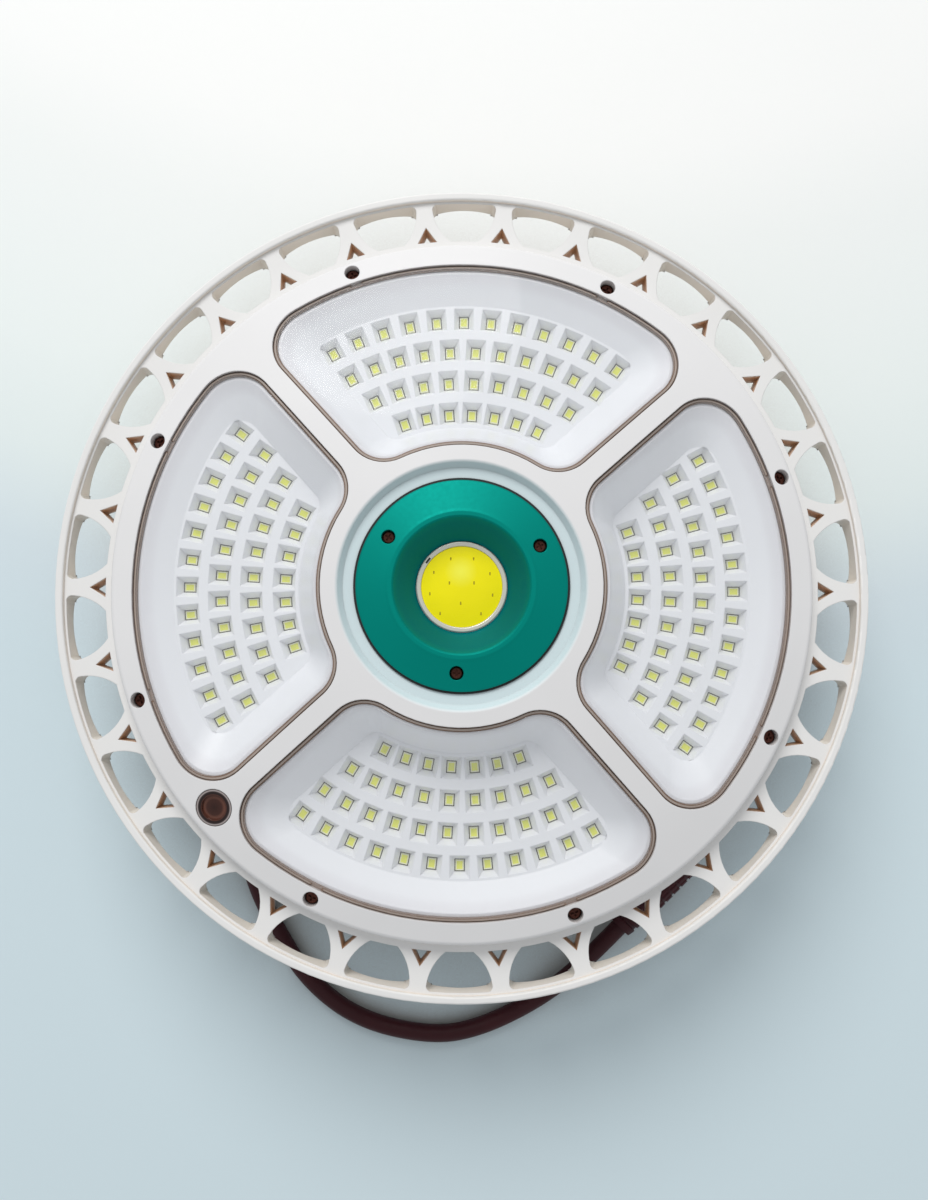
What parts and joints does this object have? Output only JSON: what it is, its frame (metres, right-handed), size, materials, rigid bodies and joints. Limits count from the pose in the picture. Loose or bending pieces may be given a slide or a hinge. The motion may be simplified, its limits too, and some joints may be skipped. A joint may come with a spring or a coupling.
{
  "type": "solar ceiling light",
  "caption": "Round solar ceiling light with a ribbed outer ring, lamp windows over LED reflectors, a green centre cap with a round lamp, and a lead with a screw-locked plug.",
  "frame": {"origin": "Centre of the flat back, in the plane that the light lies on or hangs against.", "axes": "+Z is the way the light shines, away from the back. +Y runs through the middle of the window that is uppermost in the picture, and +X through the one on its right."},
  "size_m": [0.255, 0.2848, 0.071],
  "materials": {
    "cream_body": "satin, warm cream white",
    "cream_ring": "satin, slightly whiter than the body",
    "clear_lens": "clear, glossy",
    "brown_seal": "matte",
    "gloss_white": "glossy",
    "white_board": "solder mask",
    "led_yellow": "resin",
    "plate_aluminium": "plain",
    "cast_aluminium": "cast",
    "zinc_steel": "zinc plated",
    "bronze_steel": "dark bronze",
    "green_cap": "satin, blue green",
    "black_rubber": "matte",
    "grey_rubber": "matte",
    "silver_ring": "bright",
    "phosphor_yellow": "resin",
    "smoked_plastic": "glossy, dark brown",
    "plated_wire": "plated",
    "cell_sleeve": "shrink sleeve over steel",
    "black_plastic": "moulded",
    "grey_plastic": "moulded",
    "green_board": "solder mask",
    "wire_red": "insulation",
    "cord_jacket": "satin, dark maroon black",
    "plug_plastic": "dark maroon black",
    "plated_contact": "plated brass",
    "orange_seal": "O ring"
  },
  "bodies": {
    "light": {"battery_cells": "cell_sleeve", "battery_cradle": "black_plastic", "battery_strap": "zinc_steel", "board_carrier": "plate_aluminium", "board_components": "black_plastic", "board_screws": "zinc_steel", "button_bezel": "grey_rubber", "button_switch": "black_plastic", "cap_screws": "bronze_steel", "cap_seal": "black_rubber", "carrier_screws": "zinc_steel", "centre_cap": "green_cap", "cob_board": "plate_aluminium", "cob_heat_sink": "cast_aluminium", "cob_phosphor": "phosphor_yellow", "cob_ring": "silver_ring", "control_board": "green_board", "cover_seal": "grey_rubber", "cradle_screws": "zinc_steel", "front_cover": "cream_body", "gland_body": "black_plastic", "gland_locknut": "black_plastic", "gland_nut": "black_plastic", "gland_seal": "black_rubber", "housing_screws": "bronze_steel", "housing_seal": "grey_rubber", "inner_lead": "cord_jacket", "inner_wires": "wire_red", "lead_cord": "cord_jacket", "led_board_bottom": "white_board", "led_board_left": "white_board", "led_board_right": "white_board", "led_board_top": "white_board", "led_chips": "led_yellow", "lens_bottom": "clear_lens", "lens_left": "clear_lens", "lens_right": "clear_lens", "lens_seal_bottom": "brown_seal", "lens_seal_left": "brown_seal", "lens_seal_right": "brown_seal", "lens_seal_top": "brown_seal", "lens_top": "clear_lens", "plug_barrel": "plated_contact", "plug_body": "plug_plastic", "plug_boot": "cord_jacket", "plug_seal": "orange_seal", "rear_housing": "cream_body", "reflector_tray_bottom": "gloss_white", "reflector_tray_left": "gloss_white", "reflector_tray_right": "gloss_white", "reflector_tray_top": "gloss_white", "rib_ring": "cream_ring", "sensor_board": "green_board", "sensor_lens": "smoked_plastic", "strap_screws": "zinc_steel", "switch_board": "green_board"},
    "coupling_nut": {"coupling_nut": "plug_plastic"},
    "power_button": {"power_button": "grey_plastic"},
    "hanging_bail": {"hanging_bail": "plated_wire"}
  },
  "joints": [
    {"name": "nut_turn", "type": "hinge", "parent": "light", "child": "coupling_nut", "pos_m": [0.07745, -0.09517, 0.00585], "axis": [0.6646, 0.7472, 0], "continuous": true},
    {"name": "button_press", "type": "slide", "parent": "light", "child": "power_button", "axis": [-0.5, 0.866, 0], "range_m": [0, 0.0012], "stiffness_N_per_m": 800, "springref_m": -0.0005},
    {"name": "bail_swing", "type": "hinge", "parent": "light", "child": "hanging_bail", "pos_m": [0, 0, 0.004], "axis": [1, 0, 0], "range_deg": [0, 90]}
  ]
}
